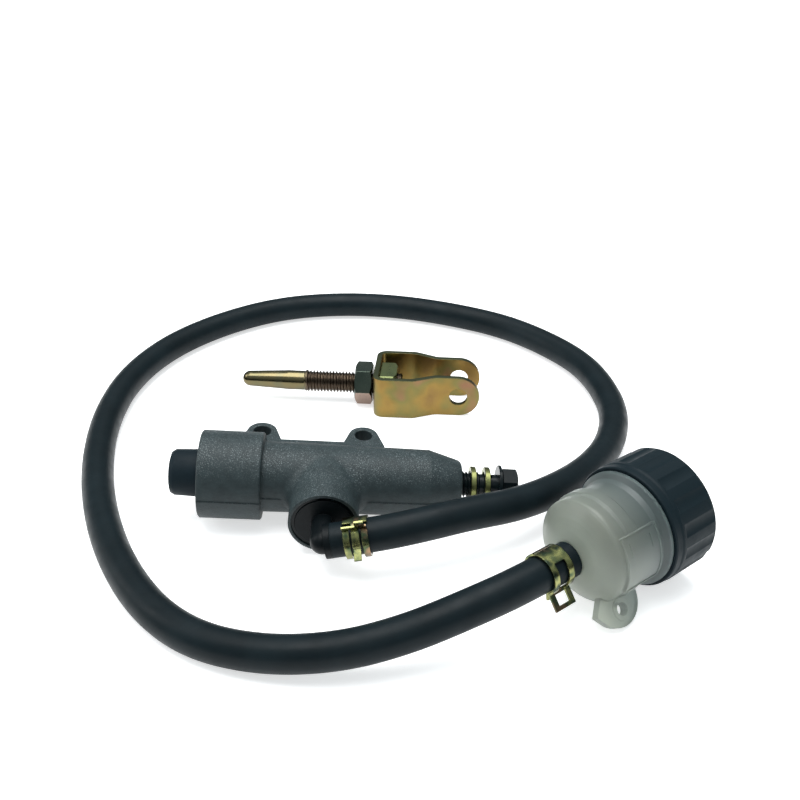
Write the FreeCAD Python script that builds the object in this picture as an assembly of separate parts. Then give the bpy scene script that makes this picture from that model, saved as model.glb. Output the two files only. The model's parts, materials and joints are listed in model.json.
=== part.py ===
import FreeCAD, Part
import math
import os

# Rear brake master cylinder of a motorcycle, with its remote reservoir, its feed hose and its
# loose pushrod set, laid out on a flat surface. Millimetres, +Z up, floor at z = 0.
# The origin is on the floor, under the middle of the whole set with the hose left out.
# Each cluster is drawn along its own +X axis and then laid where it lies:
#   cylinder   x from the boot end (0) to the outlet end, +y towards the mounting ears
#   reservoir  x along its axis, 0 at the flared rim under the cap, cap on the + side
#   pushrod    x from the ball tip (0) to the clevis ears

from FreeCAD import Placement, Rotation, Vector

# ---- where the clusters lie: position, then yaw, pitch and roll in degrees
CYLINDER_AT = Placement(Vector(-84.09, -17.76, 19.48), Rotation(2.0, 4.4, 2.5))
RESERVOIR_AT = Placement(Vector(68.98, -54.49, 22.2), Rotation(37.4, 0.0, 0.0))
PUSHROD_AT = Placement(Vector(-81.85, 74.0, 9.5), Rotation(-4.5, 0.0, 0.0))
# ---- moves the whole set so that its middle, without the hose, is over the origin
SET_SHIFT = Vector(-1.393, 1.769, 0.02)

# ---- cylinder casting
CASTING_LENGTH = 98.8
COLLAR_LENGTH = 23.4
COLLAR_R = 16.8
BARREL_R_BIG = 13.6
BARREL_R_SMALL = 12.9
TAPER_FROM = 86.3
TAPER_END_R = 8.7
PARTING_STEP = 0.3
BORE_R = 6.35
BORE_FROM = 13.0
BORE_TO = 76.0
OUTLET_R = 5.06
OUTLET_DEPTH = 19.0
MOUTH_R = 10.4
MOUTH_DEPTH = 15.0
EAR_SPACING = 40.0
EAR_X = 21.2
EAR_Y = 21.0
EAR_TOP = 6.0
EAR_THICK = 9.0
EAR_R = 5.8
EAR_LEAN = 18.0
WEB_Y = 16.0
EAR_HOLE_R = 3.5
BOSS_X = 47.1
BOSS_FACE_Y = -26.8
BOSS_R = 12.8
BOSS_BLEND_R = 4.5
SEAT_R = 11.7
SEAT_DEPTH = 4.6
SPIGOT_BORE_R = 7.0
SPIGOT_BORE_TO = -10.6

# ---- pieces inside the casting
PISTON_R = 6.31
PISTON_FROM = 15.3
CUP_FRONT = 47.5
SPRING_WIRE = 1.1
SPRING_R = 4.7
SPRING_TURNS = 6
SPRING_FROM = 53.3
CIRCLIP_X = 11.0
CIRCLIP_THICK = 1.2

# ---- elbow, hose and clamps
ELBOW_Y = -36.5
ELBOW_RISE = 13.0
ELBOW_R = 4.4
HUB_R = 10.3
HOSE_R = 6.25
HOSE_BORE_R = 3.3
BARB_R = 3.2
BARB_LENGTH = 14.0
HOSE_OFF_ELBOW = 3.4
HOSE_OFF_CUP = 27.8
CLAMP_WIDTH = 8.7
CLAMP_THICK = 0.8
CLAMP_STRAP = 2.2
CLAMP_TONGUE = 2.7
CLAMP_GAP = 0.25
CLAMP_OFF_ELBOW = 4.8
CLAMP_OFF_CUP = 4.6

# ---- outlet bolt and its washers
BOLT_THREAD_R = 4.98
BOLT_WAIST_R = 4.2
BOLT_TIP = 93.2
BOLT_FLANGE = 113.2
BOLT_FLANGE_R = 7.9
BOLT_FLANGE_THICK = 1.6
BOLT_HEAD_AF = 12.0
BOLT_HEAD_THICK = 5.8
WASHER_R = 7.0
WASHER_HOLE_R = 5.15
WASHER_THICK = 2.0
WASHER_INNER_X = 102.4
WASHER_OUTER_X = 107.8

# ---- reservoir
RIM_R = 20.7
NECK_R = 19.2
NECK_LENGTH = 12.0
CAP_R = 22.2
CAP_FROM = 0.4
CAP_TO = 21.4
CAP_BORE_R = 19.5
CAP_TOP_THICK = 2.4
FLUTES = 16
FLUTE_R = 7.0
FLUTE_DEPTH = 0.6
TAB_X = -18.0
TAB_LEFT = -28.0
TAB_CHAMFER = (-28.0, 21.2, -25.2, 25.05)
TAB_DIP = 48.6
TAB_THICK = 3.0
TAB_END_R = 9.6
TAB_REACH = 28.3
TAB_HOLE_X = -17.3
TAB_HOLE_AT = 22.7
TAB_HOLE_R = 2.2

# ---- pushrod set
ROD_TIP_R = 3.6
ROD_PLAIN_R = 4.5
ROD_THREAD_R = 4.97
ROD_PLAIN_LENGTH = 29.4
ROD_LENGTH = 74.5
NUT_X = 53.0
NUT_THICK = 8.0
NUT_AF = 17.0
NUT_HOLE_R = 5.03
CLEVIS_X = 62.0
CLEVIS_LENGTH = 47.8
CLEVIS_HEIGHT = 19.0
CLEVIS_SHEET = 2.3
CLEVIS_BASE_W = 28.6
CLEVIS_EAR_W = 20.0
CLEVIS_JOG_FROM = 18.0
CLEVIS_JOG_TO = 28.0
CLEVIS_PIN_R = 4.1
CLEVIS_ROD_HOLE_R = 5.5
JOINT_NUT_X = 64.6
JOINT_NUT_THICK = 7.4
JOINT_NUT_AF = 14.6

# ---- feed hose: points from the elbow's mouth to the reservoir's outlet, z at the hose's middle
HOSE_ROUTE = [
    (-32.68, -52.48, 14.80), (-18.15, -52.12, 17.00), (-0.9, -48.6, 18.7), (15.2, -42.2, 18.7),
    (34.2, -34.2, 16.8), (52.3, -19.8, 14.0), (68.5, 0.5, 9.9), (80.0, 22.0, 7.2),
    (86.5, 46.0, 6.3), (85.5, 70.0, 6.3), (79.5, 93.5, 6.3), (65.0, 115.5, 6.3),
    (45.0, 135.5, 6.3), (17.5, 150.0, 6.3), (-12.5, 160.0, 6.3), (-43.0, 162.5, 6.3),
    (-73.5, 156.5, 6.3), (-100.0, 139.5, 6.3), (-122.0, 115.0, 6.3), (-135.0, 85.0, 6.3),
    (-138.5, 53.0, 6.3), (-135.0, 18.0, 6.3), (-125.5, -18.0, 6.3), (-111.0, -51.0, 6.3),
    (-93.5, -77.0, 6.3), (-75.0, -92.4, 6.3), (-52.0, -100.2, 7.6), (-28.1, -101.6, 10.2),
    (-6.7, -97.6, 13.9), (12.5, -91.8, 19.0), (31.01, -83.52, 22.2), (46.81, -71.45, 22.2),
]

X = Vector(1, 0, 0)
Y = Vector(0, 1, 0)
Z = Vector(0, 0, 1)
ORIGIN = Vector(0, 0, 0)


# ---------------------------------------------------------------- small shape helpers
def rod(radius, start, end):
    """Round bar on the X axis."""
    return Part.makeCylinder(radius, end - start, Vector(start, 0, 0), X)


def turned(profile):
    """Solid turned about the X axis from (x, radius) points; the axis closes it."""
    points = [Vector(x, r, 0) for x, r in profile]
    first = Vector(profile[0][0], 0, 0)
    last = Vector(profile[-1][0], 0, 0)
    outline = [first] + [p for p in points if p.y > 0] + [last, first]
    return Part.Face(Part.makePolygon(outline)).revolve(ORIGIN, X, 360)


def ring(outer, inner, start, end):
    """Flat ring about the X axis."""
    return rod(outer, start, end).cut(rod(inner, start - 1, end + 1))


def hexagon(across_flats, start, end, turn=0.0):
    """Hexagonal bar on the X axis, a flat facing up when turn is 0."""
    corner = across_flats / math.sqrt(3)
    angles = [math.radians(60 * k + turn) for k in range(7)]
    points = [Vector(start, corner * math.cos(a), corner * math.sin(a)) for a in angles]
    return Part.Face(Part.makePolygon(points)).extrude(Vector(end - start, 0, 0))


def barrel_trim(across_flats, start, end):
    """Turned outline that chamfers the corners of a hexagon at both ends."""
    corner = across_flats / math.sqrt(3)
    edge = across_flats / 2 * 0.97
    lead = (corner - edge) * 0.58
    return turned([(start, edge), (start + lead, corner), (end - lead, corner), (end, edge)])


def sector(outer, inner, start, end, angle_from, angle_to):
    """Part of a ring about X between two angles, measured from +Y towards +Z."""
    sweep = angle_to - angle_from
    solid = Part.makeCylinder(outer, end - start, ORIGIN, Z, sweep)
    solid = solid.cut(Part.makeCylinder(inner, end - start, ORIGIN, Z, sweep))
    solid.Placement = Placement(Vector(start, 0, 0), Rotation(Y, Z, X, "ZXY"))
    solid.rotate(ORIGIN, X, angle_from)
    return solid


def block(x0, x1, y0, y1, z0, z1):
    return Part.makeBox(x1 - x0, y1 - y0, z1 - z0, Vector(x0, y0, z0))


def fused(shapes):
    return shapes[0].multiFuse(shapes[1:]).removeSplitter()


# ---------------------------------------------------------------- cylinder casting and its pieces
def casting_skin(grow):
    """Collar, barrel and taper as one turned shape."""
    collar = COLLAR_R - grow
    return turned([
        (0.0, collar - 0.5), (0.5, collar), (COLLAR_LENGTH - 0.5, collar),
        (COLLAR_LENGTH, collar - 0.5), (COLLAR_LENGTH, BARREL_R_BIG - grow),
        (TAPER_FROM, BARREL_R_SMALL - grow), (CASTING_LENGTH - 1.4, TAPER_END_R + 0.5),
        (CASTING_LENGTH - 0.4, TAPER_END_R - 0.1), (CASTING_LENGTH, TAPER_END_R - 0.9),
    ])


def ear(x):
    """One mounting ear: a round end with straight sides that flare into the barrel."""
    lean = math.radians(EAR_LEAN)
    side = Vector(EAR_R * math.cos(lean), EAR_R * math.sin(lean), 0)
    foot = EAR_Y - 6.5
    foot_half = side.x + (side.y + EAR_Y - foot) * math.tan(lean)
    right = Vector(x, EAR_Y, 0) + side
    left = Vector(x - side.x, EAR_Y + side.y, 0)
    top = Vector(x, EAR_Y + EAR_R, 0)
    corners = [Vector(x - foot_half, foot, 0), Vector(x - foot_half, 4, 0),
               Vector(x + foot_half, 4, 0), Vector(x + foot_half, foot, 0)]
    edges = [Part.Arc(right, top, left).toShape()]
    stops = [left] + corners + [right]
    edges += [Part.LineSegment(a, b).toShape() for a, b in zip(stops, stops[1:])]
    plate = Part.Face(Part.Wire(edges)).extrude(Vector(0, 0, EAR_THICK))
    plate.translate(Vector(0, 0, EAR_TOP - EAR_THICK))
    return plate


def cylinder_body():
    lower = casting_skin(0.0).cut(block(-5, CASTING_LENGTH + 5, -30, 30, -0.5, 30))
    upper = casting_skin(PARTING_STEP)
    boss = Part.makeCylinder(BOSS_R, -BOSS_FACE_Y, Vector(BOSS_X, 0, 0), Vector(0, -1, 0))
    body = fused([upper, boss])
    seam = [e for e in body.Edges if blend_edge(e)]
    body = body.makeFillet(BOSS_BLEND_R, seam)
    web = block(EAR_X, EAR_X + EAR_SPACING, 4, WEB_Y, EAR_TOP - EAR_THICK, EAR_TOP)
    body = fused([body, lower, web, ear(EAR_X), ear(EAR_X + EAR_SPACING)])
    cuts = [
        rod(MOUTH_R, -1, MOUTH_DEPTH),
        ring(MOUTH_R + 1.2, MOUTH_R - 1, 2.6, 5.2),
        ring(MOUTH_R + 1.0, MOUTH_R - 1, CIRCLIP_X - 0.1, CIRCLIP_X + CIRCLIP_THICK + 0.1),
        rod(BORE_R, BORE_FROM, BORE_TO),
        rod(1.5, BORE_TO - 1, CASTING_LENGTH - OUTLET_DEPTH + 1),
        rod(OUTLET_R, CASTING_LENGTH - OUTLET_DEPTH, CASTING_LENGTH + 1),
        inlet_bar(SEAT_R, BOSS_FACE_Y - 1, BOSS_FACE_Y + SEAT_DEPTH),
        inlet_bar(SEAT_R + 0.5, BOSS_FACE_Y + 0.5, BOSS_FACE_Y + 1.7),
        inlet_bar(SPIGOT_BORE_R, BOSS_FACE_Y + 1, SPIGOT_BORE_TO),
        inlet_bar(1.5, SPIGOT_BORE_TO - 1, -5.0, BOSS_X - 4.5),
        inlet_bar(0.5, SPIGOT_BORE_TO - 1, -5.0, BOSS_X + 3.5),
    ]
    for x in (EAR_X, EAR_X + EAR_SPACING):
        cuts.append(Part.makeCylinder(EAR_HOLE_R, 30, Vector(x, EAR_Y, -15), Z))
    return body.cut(Part.makeCompound(cuts))


def blend_edge(edge):
    """True for the curve where the inlet boss leaves the barrel, on its outer side."""
    box = edge.BoundBox
    on_boss = box.XMin > BOSS_X - BOSS_R - 0.5 and box.XMax < BOSS_X + BOSS_R + 0.5
    return on_boss and box.YMin > -BARREL_R_BIG - 1 and box.YMax < 0.5 and box.ZLength > 3


def inlet_bar(radius, y0, y1, x=BOSS_X):
    """Round bar along the inlet boss, from y0 to y1."""
    return Part.makeCylinder(radius, y1 - y0, Vector(x, y0, 0), Y)


def inlet_ring(outer, inner, y0, y1):
    return inlet_bar(outer, y0, y1).cut(inlet_bar(inner, y0 - 1, y1 + 1))


def dust_boot():
    """Rubber cap over the mouth: bulged outside, hollow, with a lip in the casting's groove."""
    outside = turned([(-11.4, 6.4), (-11.0, 7.8), (-9.6, 8.7), (-2.0, 9.0), (0.0, 9.0),
                      (0.2, 10.1), (2.7, 10.1), (2.7, 11.2), (5.0, 11.2), (5.0, 10.2), (6.4, 9.6)])
    inside = turned([(-9.6, 6.0), (-8.8, 7.2), (-7.0, 7.6), (7.0, 7.6)])
    return outside.cut(inside).cut(rod(3.9, -13, 0))


def retaining_circlip():
    """Open spring ring with two pierced lugs."""
    body = ring(MOUTH_R + 0.8, 8.6, CIRCLIP_X, CIRCLIP_X + CIRCLIP_THICK)
    body = body.cut(block(CIRCLIP_X - 1, CIRCLIP_X + 3, -1.6, 1.6, 0, 20))
    parts = [body]
    for side in (-1, 1):
        lug = Part.makeCylinder(1.6, CIRCLIP_THICK, Vector(CIRCLIP_X, side * 3.1, 7.9), X)
        hole = Part.makeCylinder(0.7, 4, Vector(CIRCLIP_X - 1, side * 3.1, 7.9), X)
        parts = [fused(parts + [lug]).cut(hole)]
    return parts[0]


def stop_washer():
    return ring(MOUTH_R - 0.2, 4.6, CIRCLIP_X + CIRCLIP_THICK + 0.1, CIRCLIP_X + CIRCLIP_THICK + 1.6)


def piston():
    """Two lands with a waist, a nose for the spring seat and a cone for the pushrod's tip."""
    body = turned([
        (PISTON_FROM, 5.9), (PISTON_FROM + 0.5, PISTON_R), (22.0, PISTON_R), (22.0, 4.2),
        (25.4, 4.2), (25.4, PISTON_R), (28.0, PISTON_R), (29.0, 4.6), (44.0, 4.6),
        (45.0, PISTON_R), (CUP_FRONT, PISTON_R), (CUP_FRONT, 2.6), (52.6, 2.6),
    ])
    socket = turned([(PISTON_FROM - 1, 4.0), (PISTON_FROM + 2, 3.6), (PISTON_FROM + 5, 1.2)])
    return body.cut(socket)


def cup_seal(start, hub_r):
    """Rubber cup with its lip spread towards the pressure side."""
    outside = turned([(start, 6.05), (start + 1.6, 6.1), (start + 3.3, 6.33)])
    hollow = ring(5.5, hub_r + 0.7, start + 1.6, start + 5)
    return outside.cut(hollow).cut(rod(hub_r, start - 1, start + 6))


def primary_cup():
    return cup_seal(CUP_FRONT + 0.05, 2.65)


def secondary_cup():
    return cup_seal(22.05, 4.25)


def spring_seat():
    """Stepped washer that presses the spring against the primary cup."""
    start = CUP_FRONT + 3.5
    body = turned([(start, 5.9), (start + 1.4, 5.9), (start + 1.4, 3.9), (52.4, 3.9)])
    return body.cut(rod(2.65, start - 1, 60))


def return_spring():
    """Closed coil on the seat; its ends rest on the seat and on the end of the bore."""
    length = BORE_TO - 0.2 - SPRING_FROM - SPRING_WIRE
    steps = 12 * SPRING_TURNS
    turns = [2 * math.pi * SPRING_TURNS * k / steps for k in range(steps + 1)]
    line = Part.BSplineCurve()
    line.interpolate([Vector(SPRING_R * math.cos(t), SPRING_R * math.sin(t), length * k / steps)
                      for k, t in enumerate(turns)])
    start = line.value(line.FirstParameter)
    along = line.tangent(line.FirstParameter)[0]
    section = Part.Wire(Part.makeCircle(SPRING_WIRE / 2, start, along))
    coil = Part.Solid(Part.Wire(line.toShape()).makePipeShell([section], True, False))
    coil.Placement = Placement(Vector(SPRING_FROM + SPRING_WIRE / 2, 0, 0), Rotation(Y, Z, X, "ZXY"))
    return coil


def inlet_elbow():
    """Flanged spigot in the boss, a neck, and a quarter turn to the shouldered, barbed outlet."""
    flange_from = BOSS_FACE_Y + 1.75
    spigot = inlet_ring(SPIGOT_BORE_R - 0.1, 3.2, BOSS_FACE_Y + SEAT_DEPTH, SPIGOT_BORE_TO - 0.2)
    groove = inlet_ring(SPIGOT_BORE_R + 1, 5.3, -18.6, -16.2)
    flange = inlet_bar(SEAT_R - 0.1, flange_from, BOSS_FACE_Y + SEAT_DEPTH)
    hub = inlet_bar(HUB_R, BOSS_FACE_Y + 0.2, flange_from + 1)
    neck = inlet_bar(ELBOW_R, ELBOW_Y, BOSS_FACE_Y + 1)
    knee = knee_ball(ELBOW_R)
    hose_stop = outlet_bar(3 * ELBOW_R, HOSE_OFF_ELBOW - 0.05, HOSE_OFF_ELBOW + 20)
    shoulder = outlet_bar(HOSE_R, 1.0, HOSE_OFF_ELBOW - 0.05)
    bend = neck.fuse(knee).cut(hose_stop).fuse(shoulder)
    barb = outlet_bar(BARB_R, 0, HOSE_OFF_ELBOW + BARB_LENGTH)
    body = fused([spigot.cut(groove), flange, hub, bend, barb])
    bore_in = inlet_bar(2.2, ELBOW_Y, SPIGOT_BORE_TO + 1)
    bore_out = outlet_bar(2.2, 0, HOSE_OFF_ELBOW + BARB_LENGTH + 1)
    return body.cut(fused([bore_in, bore_out, knee_ball(2.2)]))


def outlet_direction():
    rise = math.radians(ELBOW_RISE)
    return Vector(math.cos(rise), 0, math.sin(rise))


def outlet_bar(radius, start, end):
    """Round bar along the elbow's outlet, measured from the knee."""
    along = outlet_direction()
    return Part.makeCylinder(radius, end - start, Vector(BOSS_X, ELBOW_Y, 0) + along * start, along)


def knee_ball(radius):
    """Ball at the knee; its poles lie off the edges where the round bars meet it."""
    return Part.makeSphere(radius, Vector(BOSS_X, ELBOW_Y, 0), outlet_direction() - Y)


def inlet_o_ring():
    o_ring = Part.makeTorus(6.1, 0.75, Vector(BOSS_X, -17.4, 0), Y)
    return o_ring


def inlet_circlip():
    """Open ring in the boss's groove, round the hub and in front of the elbow's flange."""
    clip = inlet_ring(SEAT_R + 0.4, HUB_R + 0.2, BOSS_FACE_Y + 0.6, BOSS_FACE_Y + 1.6)
    return clip.cut(block(BOSS_X - 2.2, BOSS_X + 2.2, -30, -20, 5, 15))


# ---------------------------------------------------------------- outlet bolt
def banjo_bolt():
    """Hollow bolt: thread, waist with a cross drilling, flange and hexagon head."""
    head_from = BOLT_FLANGE + BOLT_FLANGE_THICK
    head_to = head_from + BOLT_HEAD_THICK
    shank = turned([(BOLT_TIP, 4.2), (BOLT_TIP + 0.8, BOLT_THREAD_R),
                    (WASHER_OUTER_X - 2.4, BOLT_THREAD_R), (WASHER_OUTER_X - 1.8, BOLT_WAIST_R),
                    (BOLT_FLANGE, BOLT_WAIST_R)])
    flange = turned([(BOLT_FLANGE, BOLT_FLANGE_R - 0.2), (BOLT_FLANGE + 0.3, BOLT_FLANGE_R),
                     (BOLT_FLANGE + 1.0, BOLT_FLANGE_R), (head_from, BOLT_FLANGE_R - 1.0)])
    head = hexagon(BOLT_HEAD_AF, head_from - 0.1, head_to, 12)
    head = head.common(barrel_trim(BOLT_HEAD_AF, head_from - 1.2, head_to))
    body = fused([shank, flange, head])
    body = body.cut(rod(2.0, BOLT_TIP - 1, BOLT_FLANGE - 1.5))
    cross = Part.makeCylinder(1.5, 14, Vector(BOLT_FLANGE - 3.8, 0, -7), Z)
    return body.cut(cross)


def washer(start):
    """Flat sealing washer with softened rims."""
    end = start + WASHER_THICK
    body = turned([(start, WASHER_R - 0.2), (start + 0.2, WASHER_R), (end - 0.2, WASHER_R),
                   (end, WASHER_R - 0.2)])
    return body.cut(rod(WASHER_HOLE_R, start - 1, end + 1))


def crush_washer_inner():
    return washer(WASHER_INNER_X)


def crush_washer_outer():
    return washer(WASHER_OUTER_X)


# ---------------------------------------------------------------- spring clamps
def clamp(straps_to, band_to, tongue_to, tongue_lean, looped):
    """Spring band around the hose, on X from 0 to its width, angles counted from its wide tab.

    From the wide tab two side straps run round to straps_to with a window between them, the
    full band goes on to band_to, and a narrow tongue ends it at tongue_to in a tab of its own,
    which leans from straight out by tongue_lean.
    """
    inner = HOSE_R + CLAMP_GAP
    outer = inner + CLAMP_THICK
    strap_from = CLAMP_WIDTH - CLAMP_STRAP
    tongue_from = (CLAMP_WIDTH - CLAMP_TONGUE) / 2
    tongue_end = tongue_from + CLAMP_TONGUE
    narrow_tab = block(tongue_from, tongue_end, -0.1, 4.4, -CLAMP_THICK / 2, CLAMP_THICK / 2)
    narrow_tab.rotate(ORIGIN, X, tongue_lean)
    narrow_tab.translate(Vector(0, inner + CLAMP_THICK / 2, 0))
    narrow_tab.rotate(ORIGIN, X, tongue_to)
    pieces = [
        sector(outer, inner, 0, CLAMP_WIDTH, straps_to, band_to),
        sector(outer, inner, 0, CLAMP_STRAP, 0, straps_to + 1),
        sector(outer, inner, strap_from, CLAMP_WIDTH, 0, straps_to + 1),
        sector(outer, inner, tongue_from, tongue_end, band_to - 1, tongue_to),
        narrow_tab,
    ]
    if looped:
        wide_tab = block(0, CLAMP_WIDTH, inner, outer + 5.8, 0, CLAMP_THICK)
        eye = block(CLAMP_STRAP - 0.2, strap_from + 0.2, outer + 0.6, outer + 4.4, -1, 2)
        pieces.append(wide_tab.cut(eye))
    else:
        foot = block(0, CLAMP_WIDTH, inner, outer + 2.6, 0, CLAMP_THICK)
        slot = block(CLAMP_STRAP, strap_from, inner - 1, outer + 0.7, -1, 2)
        finger = block(CLAMP_WIDTH * 0.56, CLAMP_WIDTH * 0.94, outer + 2.0, outer + 5.8,
                       0, CLAMP_THICK)
        pieces += [foot.cut(slot), finger]
    return fused(pieces)


def body_hose_clamp():
    """Clamp with its tongue threaded through the window, wide tab up, on the elbow's barb."""
    solid = clamp(145, 340, 419, 39, False)
    solid.rotate(ORIGIN, X, 115)
    solid.rotate(ORIGIN, Y, -ELBOW_RISE)
    rise = math.radians(ELBOW_RISE)
    along = Vector(math.cos(rise), 0, math.sin(rise))
    solid.translate(Vector(BOSS_X, ELBOW_Y, 0) + along * (HOSE_OFF_ELBOW + CLAMP_OFF_ELBOW))
    return solid


def reservoir_hose_clamp():
    """Clamp with its ends apart, the wide tab an open loop, on the reservoir's barb."""
    solid = clamp(108, 310, 328, 0, True)
    solid.rotate(ORIGIN, Z, 180)
    solid.rotate(ORIGIN, X, 50)
    solid.translate(Vector(-HOSE_OFF_CUP - CLAMP_OFF_CUP, 0, 0))
    return solid


# ---------------------------------------------------------------- feed hose
def hose_path():
    """Straight runs joined by tangent arcs, as large as the two runs of each corner allow."""
    points = [Vector(*p) for p in HOSE_ROUTE]
    edges = []
    radii = []
    here = points[0]
    for before, corner, after in zip(points, points[1:], points[2:]):
        back = (before - corner).normalize()
        ahead = (after - corner).normalize()
        turn = math.pi - back.getAngle(ahead)
        tangent = 0.45 * min(before.distanceToPoint(corner), after.distanceToPoint(corner))
        radius = tangent / math.tan(turn / 2)
        inward = (back + ahead).normalize()
        middle = corner + inward * (radius / math.cos(turn / 2) - radius)
        arc_from = corner + back * tangent
        arc_to = corner + ahead * tangent
        edges.append(Part.LineSegment(here, arc_from).toShape())
        edges.append(Part.Arc(arc_from, middle, arc_to).toShape())
        radii.append(radius)
        here = arc_to
    edges.append(Part.LineSegment(here, points[-1]).toShape())
    return Part.Wire(edges), radii


def feed_hose():
    path, radii = hose_path()
    start = Vector(*HOSE_ROUTE[0])
    along = Vector(*HOSE_ROUTE[1]) - start
    outside = Part.Wire(Part.makeCircle(HOSE_R, start, along))
    tube = Part.Solid(path.makePipeShell([outside], True, False))
    bore = [
        Part.makeCylinder(HOSE_BORE_R, BARB_LENGTH + 1.0, start, along),
        Part.makeCylinder(HOSE_BORE_R, BARB_LENGTH + 1.0, Vector(*HOSE_ROUTE[-1]),
                          Vector(*HOSE_ROUTE[-2]) - Vector(*HOSE_ROUTE[-1])),
    ]
    section = math.pi * HOSE_R ** 2 * path.Length
    print("hose length %.1f, arc radii %s" % (path.Length, [round(r) for r in radii]))
    print("hose volume %.0f, section times length %.0f" % (tube.Volume, section))
    return tube.cut(Part.makeCompound(bore))


# ---------------------------------------------------------------- reservoir
def reservoir_cup():
    """Dome, banded wall, flared rim, screw neck, outlet barb, mounting tab and level panel."""
    outside = turned([
        (-HOSE_OFF_CUP, 6.8), (-27.4, 8.2), (-26.8, 10.2), (-26.0, 12.1), (-25.1, 13.7),
        (-24.0, 15.3), (-22.9, 16.8), (-22.2, 17.6), (-21.4, 18.2), (-20.4, 18.4),
        (-17.2, 18.4), (-16.2, 19.1), (-12.4, 19.1), (-11.2, 18.0),
        (-4.4, 18.0), (-2.6, 18.9), (-1.0, RIM_R), (0.0, RIM_R), (0.0, NECK_R),
        (NECK_LENGTH, NECK_R),
    ])
    inside = turned([(-25.8, 6.0), (-24.6, 10.6), (-22.8, 13.8), (-20.0, 16.7), (-4.0, 16.4),
                     (-1.0, 17.2), (NECK_LENGTH + 1, 17.2)])
    barb = rod(BARB_R, -HOSE_OFF_CUP - BARB_LENGTH, -20)
    body = fused([outside, barb, mount_tab()] + level_panel())
    body = body.cut(inside)
    return body.cut(rod(2.2, -HOSE_OFF_CUP - BARB_LENGTH - 1, -20))


def mount_tab():
    """Flat tab with a rounded end, one corner cut off, and a raised ring round its hole."""
    centre = TAB_REACH - TAB_END_R
    corner_x, corner_y, cut_x, cut_y = TAB_CHAMFER
    right = Vector(TAB_X + TAB_END_R, centre, 0)
    tip = Vector(TAB_X, TAB_REACH, 0)
    cut_end = Vector(cut_x, cut_y, 0)
    edges = [Part.Arc(right, tip, cut_end).toShape()]
    stops = [cut_end, Vector(corner_x, corner_y, 0), Vector(TAB_LEFT + 7.0, 13.0, 0),
             Vector(TAB_X + TAB_END_R, 13.0, 0), right]
    edges += [Part.LineSegment(a, b).toShape() for a, b in zip(stops, stops[1:])]
    plate = Part.Face(Part.Wire(edges)).extrude(Vector(0, 0, TAB_THICK))
    plate.translate(Vector(0, 0, -TAB_THICK / 2))
    hole_at = Vector(TAB_HOLE_X, TAB_HOLE_AT, 0)
    foot = hole_at - Z * (TAB_THICK / 2 + 0.4)
    collar = Part.makeCylinder(TAB_HOLE_R + 1.6, TAB_THICK + 0.8, foot, Z)
    hole = Part.makeCylinder(TAB_HOLE_R, 20, hole_at - Z * 10, Z)
    tab = fused([plate, collar]).cut(hole)
    tab.rotate(ORIGIN, X, 180 + TAB_DIP)
    return tab


def level_panel():
    """Raised panel for reading the level, with a border and two short marks."""
    low = -20.2
    high = -4.3
    face = 19.2
    line = face + 0.3
    return [
        sector(face, 17.0, low, high, 136, 198),
        sector(line, 17.0, low, low + 0.5, 136, 198),
        sector(line, 17.0, high - 0.5, high, 136, 198),
        sector(line, 17.0, low, high, 136, 137.5),
        sector(line, 17.0, low, high, 196.5, 198),
        sector(line, 17.0, low + 2.4, low + 2.9, 144, 158),
        sector(line, 17.0, high - 3.9, high - 3.4, 144, 158),
    ]


def reservoir_cap():
    """Fluted screw cap with a plain lip, hollow over the neck."""
    body = turned([
        (CAP_FROM, CAP_BORE_R + 1.0), (CAP_FROM, CAP_R - 0.6), (CAP_FROM + 0.4, CAP_R - 0.3),
        (3.2, CAP_R - 0.3), (4.0, CAP_R), (CAP_TO - 1.4, CAP_R - 0.1), (CAP_TO - 0.4, CAP_R - 0.6),
        (CAP_TO, CAP_R - 1.8),
    ])
    flute = Part.makeCylinder(FLUTE_R, CAP_TO - 4, Vector(5, 0, CAP_R + FLUTE_R - FLUTE_DEPTH), X)
    flutes = []
    for k in range(FLUTES):
        one = flute.copy()
        one.rotate(ORIGIN, X, 360.0 * k / FLUTES)
        flutes.append(one)
    inside = rod(CAP_BORE_R, CAP_FROM - 1, CAP_TO - CAP_TOP_THICK)
    body = body.cut(Part.makeCompound(flutes)).cut(inside)
    return body.cut(ring(17.5, 16.9, CAP_TO - 0.3, CAP_TO + 1))


def diaphragm():
    """Rubber bellows that closes the neck, its rim lying on the neck's end."""
    start = NECK_LENGTH + 0.05
    rim = ring(NECK_R, 14.2, start, start + 1.4)
    outer_fold = ring(15.2, 14.2, -0.5, start + 1.0)
    floor = ring(15.2, 11.2, -0.5, 0.5)
    inner_fold = ring(12.2, 11.2, -0.5, 9.0)
    crown = rod(12.2, 8.0, 9.0)
    return fused([rim, outer_fold, floor, inner_fold, crown])


def diaphragm_plate():
    """Stiff slip disc between the diaphragm and the cap."""
    start = NECK_LENGTH + 1.5
    dish = turned([(10.0, 8.6), (start, 13.6), (start, NECK_R), (start + 1.4, NECK_R)])
    hollow = turned([(11.2, 7.6), (start + 1.2, 12.6), (start + 2, 12.6)])
    return dish.cut(hollow)


# ---------------------------------------------------------------- pushrod set
def pushrod():
    """Rod with a rounded tip, a long taper, and a screwed end."""
    nose = [(ROD_TIP_R * (1 - math.cos(math.radians(a))), ROD_TIP_R * math.sin(math.radians(a)))
            for a in range(15, 91, 15)]
    return turned([(0.0, 0.0)] + nose + [
        (21.5, ROD_PLAIN_R), (ROD_PLAIN_LENGTH, ROD_PLAIN_R),
        (ROD_PLAIN_LENGTH + 0.5, ROD_THREAD_R), (ROD_LENGTH - 0.8, ROD_THREAD_R),
        (ROD_LENGTH, ROD_THREAD_R - 0.8),
    ])


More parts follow.
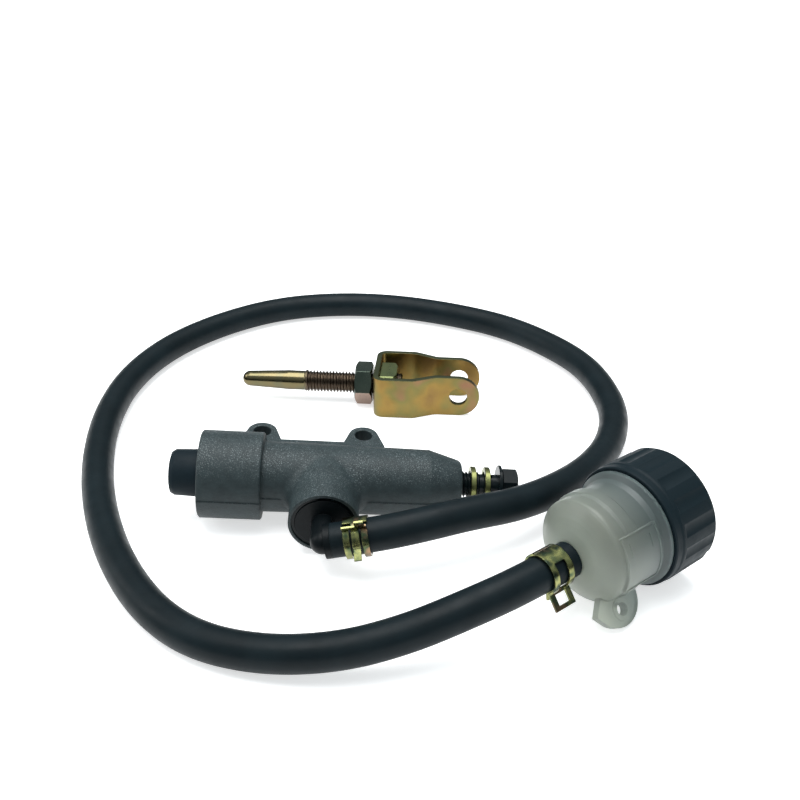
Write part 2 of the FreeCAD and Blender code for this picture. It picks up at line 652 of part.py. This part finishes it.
def lock_nut():
    body = hexagon(NUT_AF, NUT_X, NUT_X + NUT_THICK, 0)
    body = body.common(barrel_trim(NUT_AF, NUT_X, NUT_X + NUT_THICK))
    return body.cut(rod(NUT_HOLE_R, NUT_X - 1, NUT_X + NUT_THICK + 1))


def clevis_outline(inset):
    """Plan of the bent fork, from base to ears; inset moves it inwards by the sheet."""
    base = CLEVIS_BASE_W / 2
    ear_half = CLEVIS_EAR_W / 2
    slope = (base - ear_half) / (CLEVIS_JOG_TO - CLEVIS_JOG_FROM)
    lift = inset * (math.sqrt(1 + slope * slope) - 1) / slope
    far = CLEVIS_LENGTH + (5 if inset else 0)
    side = [(inset, base - inset), (CLEVIS_JOG_FROM - lift, base - inset),
            (CLEVIS_JOG_TO - lift, ear_half - inset), (far, ear_half - inset)]
    points = side + [(x, -y) for x, y in reversed(side)]
    return [Vector(CLEVIS_X + x, y, -CLEVIS_HEIGHT / 2) for x, y in points]


def bent_block(points, base_radius, jog_radius):
    """The outline pulled up to the fork's height, with its bends rounded."""
    solid = Part.Face(Part.makePolygon(points + [points[0]])).extrude(Z * CLEVIS_HEIGHT)
    upright = [e for e in solid.Edges if e.BoundBox.ZLength > 1]
    base = [e for e in upright if e.BoundBox.XMax < CLEVIS_X + 5]
    solid = solid.makeFillet(base_radius, base)
    upright = [e for e in solid.Edges if e.BoundBox.ZLength > 1]
    jog = [e for e in upright if CLEVIS_X + 14 < e.BoundBox.XMin < CLEVIS_X + 32
           and e.BoundBox.XLength < 0.1 and e.BoundBox.YLength < 0.1]
    return solid.makeFillet(jog_radius, jog)


def clevis():
    """Sheet fork bent to a U, narrowed towards its round ears, pierced for the pin."""
    outer = bent_block(clevis_outline(0.0), 4.6, 7.0)
    inner = bent_block(clevis_outline(CLEVIS_SHEET), 2.3, 7.0)
    fork = outer.cut(inner)
    half = CLEVIS_HEIGHT / 2
    end = CLEVIS_X + CLEVIS_LENGTH
    front = CLEVIS_X - 1
    profile = [
        Part.LineSegment(Vector(front, -20, half), Vector(end - half, -20, half)).toShape(),
        Part.Arc(Vector(end - half, -20, half), Vector(end, -20, 0),
                 Vector(end - half, -20, -half)).toShape(),
        Part.LineSegment(Vector(end - half, -20, -half), Vector(front, -20, -half)).toShape(),
        Part.LineSegment(Vector(front, -20, -half), Vector(front, -20, half)).toShape(),
    ]
    side = Part.Face(Part.Wire(profile)).extrude(Y * 40)
    fork = fork.common(side)
    pin = Part.makeCylinder(CLEVIS_PIN_R, 60, Vector(end - half, -30, 0), Y)
    return fork.cut(pin).cut(rod(CLEVIS_ROD_HOLE_R, CLEVIS_X - 1, CLEVIS_X + 5))


def joint_nut():
    """Square nut held inside the fork's base."""
    half = JOINT_NUT_AF / 2
    end = JOINT_NUT_X + JOINT_NUT_THICK
    body = block(JOINT_NUT_X, end, -half, half, -half, half)
    trim = turned([(JOINT_NUT_X - 1, half * 1.36), (end - 1.2, half * 1.36), (end, half * 1.12)])
    collar = rod(7.0, JOINT_NUT_X - 0.25, JOINT_NUT_X + 1)
    return fused([body.common(trim), collar]).cut(rod(NUT_HOLE_R, JOINT_NUT_X - 2, end + 1))


# ---------------------------------------------------------------- the whole set
CLUSTERS = [
    (CYLINDER_AT, [cylinder_body, dust_boot, retaining_circlip, stop_washer, piston, primary_cup,
                   secondary_cup, spring_seat, return_spring, inlet_elbow, inlet_o_ring,
                   inlet_circlip, banjo_bolt, crush_washer_inner, crush_washer_outer,
                   body_hose_clamp]),
    (RESERVOIR_AT, [reservoir_hose_clamp, reservoir_cup, reservoir_cap, diaphragm,
                    diaphragm_plate]),
    (PUSHROD_AT, [pushrod, lock_nut, clevis, joint_nut]),
    (Placement(), [feed_hose]),
]


def main():
    os.makedirs("parts", exist_ok=True)
    whole = FreeCAD.BoundBox()
    for place, makers in CLUSTERS:
        for make in makers:
            shape = make()
            laid = Placement(SET_SHIFT, Rotation()).multiply(place)
            shape.Placement = laid.multiply(shape.Placement)
            shape.exportStep("parts/%s.step" % make.__name__)
            box = shape.optimalBoundingBox(True, False)
            if make is not feed_hose:
                whole.add(box)
            print("%-22s solids %d valid %s volume %.0f z %.2f to %.2f" % (
                make.__name__, len(shape.Solids), shape.isValid(), shape.Volume,
                box.ZMin, box.ZMax))
    print("without the hose", whole)


main()
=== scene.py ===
import json
import math

import bmesh
import bpy
from mathutils import Matrix, Vector


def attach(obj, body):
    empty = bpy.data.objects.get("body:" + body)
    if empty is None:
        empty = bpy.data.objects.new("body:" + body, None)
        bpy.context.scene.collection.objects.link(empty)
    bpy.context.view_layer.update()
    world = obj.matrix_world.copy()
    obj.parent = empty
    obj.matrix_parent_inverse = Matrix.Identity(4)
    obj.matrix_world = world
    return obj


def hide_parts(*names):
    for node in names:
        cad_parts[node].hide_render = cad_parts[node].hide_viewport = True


# Looks of a rear brake master cylinder with its reservoir, feed hose and pushrod set.
# Metres, +Z up, floor at z = 0.

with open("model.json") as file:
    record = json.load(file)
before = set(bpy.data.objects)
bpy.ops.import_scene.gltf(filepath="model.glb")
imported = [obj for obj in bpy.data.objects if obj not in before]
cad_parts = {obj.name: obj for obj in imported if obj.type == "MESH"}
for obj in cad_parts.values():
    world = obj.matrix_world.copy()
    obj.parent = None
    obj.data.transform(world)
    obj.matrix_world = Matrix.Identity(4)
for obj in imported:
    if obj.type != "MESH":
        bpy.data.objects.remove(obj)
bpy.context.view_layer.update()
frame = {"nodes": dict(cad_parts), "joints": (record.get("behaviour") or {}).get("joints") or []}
NODES = frame["nodes"]
JOINTS = {joint["name"]: joint for joint in frame["joints"]}
MM = 0.001

# ---- camera
CAMERA_AT = Vector((-10.143, -318.931, 230.02)) * MM
CAMERA_PITCH = 30.5
CAMERA_LENS = 43.65
SENSOR = 36.0

# ---- feed hose: the route's points in millimetres, before the set's shift
SET_SHIFT = Vector((-1.393, 1.769, 0.02))
HOSE_DIAMETER = 12.5 * MM
HOSE_ROUTE = [
    (-32.68, -52.48, 14.80), (-18.15, -52.12, 17.00), (-0.9, -48.6, 18.7), (15.2, -42.2, 18.7),
    (34.2, -34.2, 16.8), (52.3, -19.8, 14.0), (68.5, 0.5, 9.9), (80.0, 22.0, 7.2),
    (86.5, 46.0, 6.3), (85.5, 70.0, 6.3), (79.5, 93.5, 6.3), (65.0, 115.5, 6.3),
    (45.0, 135.5, 6.3), (17.5, 150.0, 6.3), (-12.5, 160.0, 6.3), (-43.0, 162.5, 6.3),
    (-73.5, 156.5, 6.3), (-100.0, 139.5, 6.3), (-122.0, 115.0, 6.3), (-135.0, 85.0, 6.3),
    (-138.5, 53.0, 6.3), (-135.0, 18.0, 6.3), (-125.5, -18.0, 6.3), (-111.0, -51.0, 6.3),
    (-93.5, -77.0, 6.3), (-75.0, -92.4, 6.3), (-52.0, -100.2, 7.6), (-28.1, -101.6, 10.2),
    (-6.7, -97.6, 13.9), (12.5, -91.8, 19.0), (31.01, -83.52, 22.2), (46.81, -71.45, 22.2),
]

# ---- screw threads: radius, pitch, then start and end along the screw's axis
ROD_THREAD = (4.97 * MM, 1.5 * MM, -27.1 * MM, 16.7 * MM)
BOLT_THREAD = (4.98 * MM, 1.25 * MM, -19.2 * MM, -7.8 * MM)
THREAD_DEPTH = 0.6134  # of the pitch
STEPS_PER_PITCH = 16
SIDES = 56

# ---- milky cup: painted shade darkens it over this stretch, up to the cap
CUP_SHADE_FROM = 32 * MM
CUP_SHADE_LENGTH = 0.022

# ---- how far sharp edges are shaded round
CASTING_EDGE = 0.7 * MM
RUBBER_EDGE = 0.8 * MM
ZINC_EDGE = 0.35 * MM
PLASTIC_EDGE = 0.4 * MM


# ---------------------------------------------------------------- small helpers
def joint_line(name):
    """Origin and direction of a joint's axis."""
    return Vector(JOINTS[name]["pos_m"]), Vector(JOINTS[name]["axis"]).normalized()


def new_piece(name, data, body):
    piece = bpy.data.objects.new(name, data)
    bpy.context.scene.collection.objects.link(piece)
    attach(piece, body)
    return piece


# ---------------------------------------------------------------- shader helpers
class Finish:
    """A material with one Principled shader, and short calls for the nodes that feed it."""

    def __init__(self, name, colour, roughness, **sockets):
        self.material = bpy.data.materials.new(name)
        self.material.use_nodes = True
        self.tree = self.material.node_tree
        self.shader = self.tree.nodes["Principled BSDF"]
        self.place = self.tree.nodes.new("ShaderNodeTexCoord").outputs["Object"]
        self.set("Base Color", (*colour, 1.0))
        self.set("Roughness", roughness)
        for socket, value in sockets.items():
            self.set(socket.replace("_", " "), value)

    def set(self, socket, value):
        self.shader.inputs[socket].default_value = value

    def link(self, source, target):
        self.tree.links.new(source, target)

    def noise(self, scale, detail=4.0, roughness=0.5, stretch=None):
        node = self.tree.nodes.new("ShaderNodeTexNoise")
        node.inputs["Scale"].default_value = scale
        node.inputs["Detail"].default_value = detail
        node.inputs["Roughness"].default_value = roughness
        source = self.place
        if stretch:
            mapping = self.tree.nodes.new("ShaderNodeMapping")
            mapping.inputs["Rotation"].default_value = stretch[0]
            mapping.inputs["Scale"].default_value = stretch[1]
            self.link(source, mapping.inputs["Vector"])
            source = mapping.outputs["Vector"]
        self.link(source, node.inputs["Vector"])
        return node.outputs["Fac"]

    def ramp(self, source, *stops):
        """Colour ramp; each stop is (position, grey or colour)."""
        node = self.tree.nodes.new("ShaderNodeValToRGB")
        marks = node.color_ramp.elements
        while len(marks) < len(stops):
            marks.new(0.5)
        for mark, (position, value) in zip(marks, stops):
            mark.position = position
            colour = value if isinstance(value, tuple) else (value,) * 3
            mark.color = (*colour, 1.0)
        self.link(source, node.inputs["Fac"])
        return node.outputs["Color"]

    def math(self, operation, one, two):
        node = self.tree.nodes.new("ShaderNodeMath")
        node.operation = operation
        for socket, value in zip(node.inputs, (one, two)):
            if isinstance(value, float):
                socket.default_value = value
            else:
                self.link(value, socket)
        return node.outputs["Value"]

    def mix(self, factor, one, two, blend="MIX"):
        node = self.tree.nodes.new("ShaderNodeMix")
        node.data_type = "RGBA"
        node.blend_type = blend
        for socket, value in ((node.inputs[0], factor), (node.inputs[6], one),
                              (node.inputs[7], two)):
            if isinstance(value, float):
                socket.default_value = value
            elif isinstance(value, tuple):
                socket.default_value = (*value, 1.0)
            else:
                self.link(value, socket)
        return node.outputs[2]

    def normal_up(self):
        """How far the surface faces up, from -1 to 1, in the piece's own frame."""
        coordinates = self.tree.nodes.new("ShaderNodeTexCoord")
        split = self.tree.nodes.new("ShaderNodeSeparateXYZ")
        self.link(coordinates.outputs["Normal"], split.inputs["Vector"])
        return split.outputs["Z"]

    def along(self, start, axis):
        """Distance in metres from a point along an axis."""
        away = self.tree.nodes.new("ShaderNodeVectorMath")
        away.operation = "SUBTRACT"
        away.inputs[1].default_value = start
        self.link(self.place, away.inputs[0])
        dot = self.tree.nodes.new("ShaderNodeVectorMath")
        dot.operation = "DOT_PRODUCT"
        dot.inputs[1].default_value = axis
        self.link(away.outputs["Vector"], dot.inputs[0])
        return dot.outputs["Value"]

    def colour(self, source):
        self.link(source, self.shader.inputs["Base Color"])

    def roughness(self, source):
        self.link(source, self.shader.inputs["Roughness"])

    def bump(self, source, distance, strength=1.0):
        node = self.tree.nodes.new("ShaderNodeBump")
        node.inputs["Strength"].default_value = strength
        node.inputs["Distance"].default_value = distance
        self.link(source, node.inputs["Height"])
        if self.shader.inputs["Normal"].is_linked:
            self.link(self.shader.inputs["Normal"].links[0].from_socket, node.inputs["Normal"])
        self.link(node.outputs["Normal"], self.shader.inputs["Normal"])

    def soft_edges(self, radius):
        """Shades sharp edges as if they were rounded; comes before any bump."""
        node = self.tree.nodes.new("ShaderNodeBevel")
        node.samples = 6
        node.inputs["Radius"].default_value = radius
        self.link(node.outputs["Normal"], self.shader.inputs["Normal"])

    def on(self, *nodes):
        for name in nodes:
            mesh = NODES[name].data
            mesh.materials.clear()
            mesh.materials.append(self.material)


# ---------------------------------------------------------------- materials
def casting_finish_with_painted_glints():
    """Grey sand-cast alloy: fine grain, and painted glints, pale grains on the faces that look up."""
    finish = Finish("casting_finish_with_painted_glints", (0.02, 0.03, 0.032), 0.5, Specular_IOR_Level=0.25)
    mottle = finish.noise(260.0, 5.0, 0.6)
    tone = finish.ramp(mottle, (0.3, (0.017, 0.026, 0.028)), (0.7, (0.026, 0.039, 0.042)))
    grains = finish.ramp(finish.noise(2400.0, 3.0, 0.7), (0.55, 0.0), (0.66, 1.0))
    patches = finish.ramp(finish.noise(75.0, 3.0, 0.6), (0.3, 0.25), (0.6, 1.0))
    facing_up = finish.ramp(finish.normal_up(), (0.35, 0.0), (0.8, 1.0))
    painted_glint_share = finish.math("MULTIPLY", grains, patches)
    painted_glint_share = finish.math("MULTIPLY", painted_glint_share, facing_up)
    painted_glint_share = finish.math("MULTIPLY", painted_glint_share, 0.7)
    finish.soft_edges(CASTING_EDGE)
    # painted glints: pale flecks mixed into the colour on the faces that look up, where light from
    # above glints off the grain
    finish.colour(finish.mix(painted_glint_share, tone, (0.24, 0.28, 0.285)))
    finish.bump(finish.noise(1300.0, 4.0, 0.7), 0.00018, 0.8)
    return finish


def rubber_finish(name, colour, roughness):
    """Black rubber with faint dusty patches and a soft gloss."""
    finish = Finish(name, colour, roughness, Specular_IOR_Level=0.11)
    patches = finish.noise(45.0, 4.0, 0.6)
    lighter = tuple(1.6 * c + 0.001 for c in colour)
    finish.colour(finish.ramp(patches, (0.35, colour), (0.75, lighter)))
    finish.soft_edges(RUBBER_EDGE)
    low = roughness - 0.06
    finish.roughness(finish.ramp(finish.noise(160.0, 3.0), (0.3, low), (0.7, roughness + 0.08)))
    finish.bump(finish.noise(900.0, 2.0), 0.00003, 0.5)
    return finish


def zinc_finish(name, roughness, *colours, drift=70.0, painted_top_shade=None, painted_under_reflection=None):
    """Yellow chromate on zinc: its tint drifts; painted shade may darken the faces that look up, and
    a painted reflection may lighten the faces that look down.
    """
    finish = Finish(name, colours[0], roughness, Metallic=1.0)
    step = 0.4 / (len(colours) - 1)
    stops = [(0.3 + step * k, colour) for k, colour in enumerate(colours)]
    tint = finish.ramp(finish.noise(drift, 2.0, 0.4), *stops)
    # painted shade: a darker tint on the faces that look up
    if painted_top_shade:
        tint = finish.mix(finish.ramp(finish.normal_up(), (0.6, 0.0), (0.9, 1.0)), tint, painted_top_shade)
    # painted reflection: a lighter tint on the faces that look down
    if painted_under_reflection:
        down = finish.math("MULTIPLY", finish.normal_up(), -1.0)
        tint = finish.mix(finish.ramp(down, (0.2, 0.0), (0.6, 1.0)), tint, painted_under_reflection)
    finish.colour(tint)
    finish.soft_edges(ZINC_EDGE)
    finish.roughness(finish.ramp(finish.noise(240.0, 3.0), (0.3, roughness - 0.05),
                                 (0.7, roughness + 0.08)))
    return finish


def plastic_finish(name, colour, roughness):
    finish = Finish(name, colour, roughness, Specular_IOR_Level=0.11)
    finish.soft_edges(PLASTIC_EDGE)
    finish.roughness(finish.ramp(finish.noise(300.0, 3.0), (0.3, roughness - 0.06),
                                 (0.7, roughness + 0.06)))
    finish.bump(finish.noise(1400.0, 2.0), 0.00003, 0.5)
    return finish


def milky_finish_with_painted_shade():
    """Thin unfilled plastic that lets light through but shows only shadows of what is behind; painted
    shade darkens it towards the cap.
    """
    finish = Finish("milky_finish_with_painted_shade", (0.5, 0.55, 0.5), 0.4, IOR=1.4)
    finish.set("Transmission Weight", 0.78)
    finish.soft_edges(PLASTIC_EDGE)
    cloud = finish.noise(60.0, 3.0)
    pale = finish.ramp(cloud, (0.3, (0.47, 0.51, 0.45)), (0.7, (0.55, 0.58, 0.50)))
    in_cap, axis = joint_line("lid_turn")
    towards_cap = finish.along(in_cap - axis * CUP_SHADE_FROM, axis)
    # painted shade: the colour goes darker and bluer towards the cap
    shade = finish.ramp(finish.math("DIVIDE", towards_cap, CUP_SHADE_LENGTH), (0.0, 0.0), (1.0, 0.85))
    finish.colour(finish.mix(shade, pale, (0.16, 0.23, 0.25)))
    return finish


def steel_finish(name, colour, roughness):
    finish = Finish(name, colour, roughness, Metallic=1.0)
    finish.roughness(finish.ramp(finish.noise(500.0, 3.0), (0.3, roughness - 0.08),
                                 (0.7, roughness + 0.1)))
    return finish


def dress_cad():
    """Gives every CAD node that stays in view its finish, and returns the ones others use."""
    casting_finish_with_painted_glints().on("cylinder_body")
    rubber_finish("boot_finish", (0.005, 0.011, 0.015), 0.55).on("dust_boot")
    rubber_finish("seal_finish", (0.02, 0.02, 0.02), 0.45).on(
        "primary_cup", "secondary_cup", "inlet_o_ring", "diaphragm")
    plastic_finish("elbow_finish", (0.003, 0.005, 0.006), 0.4).on("inlet_elbow")
    plastic_finish("plate_finish", (0.02, 0.022, 0.026), 0.4).on("diaphragm_plate")
    plastic_finish("cap_finish", (0.006, 0.013, 0.017), 0.5).on("reservoir_cap")
    milky_finish_with_painted_shade().on("reservoir_cup")
    steel_finish("spring_steel_finish", (0.45, 0.45, 0.46), 0.35).on(
        "return_spring", "spring_seat", "retaining_circlip", "stop_washer")
    steel_finish("piston_finish", (0.72, 0.72, 0.74), 0.3).on("piston")
    steel_finish("washer_finish", (0.17, 0.18, 0.07), 0.3).on(
        "crush_washer_inner", "crush_washer_outer")
    black_plated = Finish("black_plated", (0.003, 0.006, 0.007), 0.25, Specular_IOR_Level=0.14)
    black_plated.on("inlet_circlip")
    clevis_tints = ((0.20, 0.125, 0.045), (0.23, 0.15, 0.045), (0.16, 0.14, 0.05), (0.23, 0.12, 0.07))
    # painted shade: the clevis's faces that look up are given a darker green tint
    zinc_finish("clevis_finish_with_painted_shade", 0.36, *clevis_tints, painted_top_shade=(0.085, 0.095, 0.05)).on("clevis")
    zinc_finish("joint_nut_finish", 0.3, (0.2, 0.21, 0.09), (0.16, 0.2, 0.09)).on("joint_nut")
    # the clamp's tints are partly real chromate colour and partly painted reflections: bright
    # yellow-green and dark patches at random stand in for highlights and dark reflections on the band
    clamp_tints_and_painted_reflections = ((0.05, 0.07, 0.045), (0.28, 0.28, 0.11), (0.06, 0.09, 0.05), (0.27, 0.17, 0.10))
    zinc_finish("clamp_finish_with_painted_reflections", 0.2, *clamp_tints_and_painted_reflections, drift=200.0).on(
        "body_hose_clamp", "reservoir_hose_clamp")
    # painted reflection: the lock nut's faces that look down are given a lighter pinkish tint
    zinc_finish("lock_nut_finish_with_painted_reflection", 0.22, (0.06, 0.08, 0.065), (0.10, 0.12, 0.095),
                painted_under_reflection=(0.3, 0.2, 0.16)).on("lock_nut")
    rod = zinc_finish("rod_finish", 0.16, (0.12, 0.11, 0.06), (0.14, 0.115, 0.06),
                      (0.10, 0.105, 0.07))
    thread = zinc_finish("thread_finish", 0.3, (0.10, 0.075, 0.052), (0.08, 0.06, 0.045))
    return black_plated.material, rod.material, thread.material


# ---------------------------------------------------------------- screw threads
def thread_radius(phase, outer, depth):
    """Radius of a 60 degree thread at a phase from 0 to 1 of its pitch."""
    phase = phase % 1.0
    crest, root, flank = 0.125, 0.25, 0.3125
    if phase < crest:
        return outer
    if phase < crest + flank:
        return outer - depth * (phase - crest) / flank
    if phase < crest + flank + root:
        return outer - depth
    return outer - depth * (1.0 - phase) / flank


def thread_mesh(name, middle, axis, outer, pitch, start, end):
    """Screw thread about an axis, from start to end along it, running out at both ends."""
    turn = axis.to_track_quat("X", "Z").to_matrix()
    depth = THREAD_DEPTH * pitch
    rows = round((end - start) / pitch * STEPS_PER_PITCH)
    mesh = bmesh.new()
    rings = []
    for row in range(rows + 1):
        along = start + (end - start) * row / rows
        fade = min(1.0, (along - start) / pitch, (end - along) / pitch)
        ring = []
        for side in range(SIDES):
            angle = 2 * math.pi * side / SIDES
            cut = outer - thread_radius(along / pitch - side / SIDES, outer, depth)
            radius = outer - cut * fade
            local = Vector((along, radius * math.cos(angle), radius * math.sin(angle)))
            ring.append(mesh.verts.new(middle + turn @ local))
        rings.append(ring)
    for low, high in zip(rings, rings[1:]):
        for side in range(SIDES):
            after = (side + 1) % SIDES
            mesh.faces.new((low[side], low[after], high[after], high[side]))
    made = bpy.data.meshes.new(name)
    mesh.to_mesh(made)
    mesh.free()
    return made


def screwed(node, name, joint, body, screw, finishes):
    """A CAD node's own shape with the plain part of its shank given a real thread."""
    outer, pitch, start, end = screw
    middle, axis = joint_line(joint)
    shank = bmesh.new()
    shank.from_mesh(NODES[node].data)
    for along, side in ((start, 1), (end, 1)):
        geometry = shank.verts[:] + shank.edges[:] + shank.faces[:]
        bmesh.ops.bisect_plane(shank, geom=geometry, dist=1e-7,
                               plane_co=middle + axis * along, plane_no=axis * side)
    outside = []
    for face in shank.faces:
        reach = face.calc_center_median() - middle
        along = reach.dot(axis)
        radius = (reach - axis * along).length
        if start < along < end and radius > outer * 0.8:
            outside.append(face)
    bmesh.ops.delete(shank, geom=outside, context="FACES")
    for face in shank.faces:
        face.material_index = 0
    count = len(shank.faces)
    thread = thread_mesh(name + "_thread", middle, axis, outer, pitch, start, end)
    shank.from_mesh(thread)
    shank.faces.ensure_lookup_table()
    for face in shank.faces[count:]:
        face.material_index = 1
        face.smooth = True
    mesh = bpy.data.meshes.new(name)
    shank.to_mesh(mesh)
    shank.free()
    bpy.data.meshes.remove(thread)
    for finish in finishes:
        mesh.materials.append(finish)
    piece = new_piece(name, mesh, body)
    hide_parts(node)
    return piece


# ---------------------------------------------------------------- feed hose
def hose(finish):
    curve = bpy.data.curves.new("hose_line", "CURVE")
    curve.dimensions = "3D"
    spline = curve.splines.new("NURBS")
    spline.points.add(len(HOSE_ROUTE) - 1)
    for point, place in zip(spline.points, HOSE_ROUTE):
        point.co = (*((Vector(place) + SET_SHIFT) * MM), 1.0)
    spline.order_u = 3
    spline.use_endpoint_u = True
    spline.resolution_u = 12
    curve.bevel_depth = HOSE_DIAMETER / 2
    curve.bevel_resolution = 10
    curve.use_fill_caps = True
    curve.materials.append(finish.material)
    piece = new_piece("hose", curve, "base")
    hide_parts("feed_hose")
    return piece


# ---------------------------------------------------------------- room, lights and camera
def floor():
    bpy.ops.mesh.primitive_plane_add(size=8.0, location=(0, 0, -0.0002))
    plane = bpy.context.object
    plane.name = "floor"
    finish = Finish("floor_finish", (0.86, 0.86, 0.86), 0.9, Specular_IOR_Level=0.0)
    finish.set("Emission Color", (1.0, 1.0, 1.0, 1.0))
    finish.set("Emission Strength", 0.6)
    plane.data.materials.append(finish.material)


def softbox(name, at, aim, size, power):
    light = bpy.data.lights.new(name, "AREA")
    light.shape = "RECTANGLE"
    light.size, light.size_y = size
    light.energy = power
    lamp = bpy.data.objects.new(name, light)
    bpy.context.scene.collection.objects.link(lamp)
    lamp.location = at
    lamp.rotation_euler = (Vector(aim) - Vector(at)).to_track_quat("-Z", "Y").to_euler()


def lights():
    softbox("top_box", (-0.1, 0.1, 1.3), (0, 0.05, 0), (1.3, 0.9), 22.0)
    softbox("left_box", (-1.1, 0.1, 0.6), (0, 0, 0), (0.5, 0.7), 4.0)
    bpy.context.scene.world = studio()


def studio():
    """Soft light from overhead that falls off to a dim horizon."""
    world = bpy.data.worlds.new("studio")
    world.use_nodes = True
    tree = world.node_tree
    direction = tree.nodes.new("ShaderNodeTexCoord")
    split = tree.nodes.new("ShaderNodeSeparateXYZ")
    fall = tree.nodes.new("ShaderNodeValToRGB")
    horizon, overhead = fall.color_ramp.elements
    horizon.position = 0.15
    horizon.color = (0.07, 0.085, 0.09, 1.0)
    overhead.position = 0.75
    overhead.color = (0.86, 0.96, 1.0, 1.0)
    background = tree.nodes["Background"]
    background.inputs["Strength"].default_value = 0.7
    tree.links.new(direction.outputs["Generated"], split.inputs["Vector"])
    tree.links.new(split.outputs["Z"], fall.inputs["Fac"])
    tree.links.new(fall.outputs["Color"], background.inputs["Color"])
    return world


def camera():
    lens = bpy.data.cameras.new("camera")
    lens.lens = CAMERA_LENS
    lens.sensor_width = SENSOR
    lens.clip_start = 0.01
    seat = bpy.data.objects.new("camera", lens)
    bpy.context.scene.collection.objects.link(seat)
    seat.location = CAMERA_AT
    seat.rotation_euler = (math.radians(90.0 - CAMERA_PITCH), 0.0, 0.0)
    bpy.context.scene.camera = seat


def main():
    camera()
    lights()
    floor()
    bpy.context.scene.view_settings.view_transform = "Standard"
    hose(rubber_finish("hose_finish", (0.004, 0.008, 0.010), 0.42))
    black_plated, rod, thread = dress_cad()
    screwed("pushrod", "pushrod_screw", "rod_turn", "rod", ROD_THREAD,
            (rod, thread))
    screwed("banjo_bolt", "banjo_bolt_screw", "outlet_bolt_turn", "outlet_bolt",
            BOLT_THREAD, (black_plated, black_plated))


main()
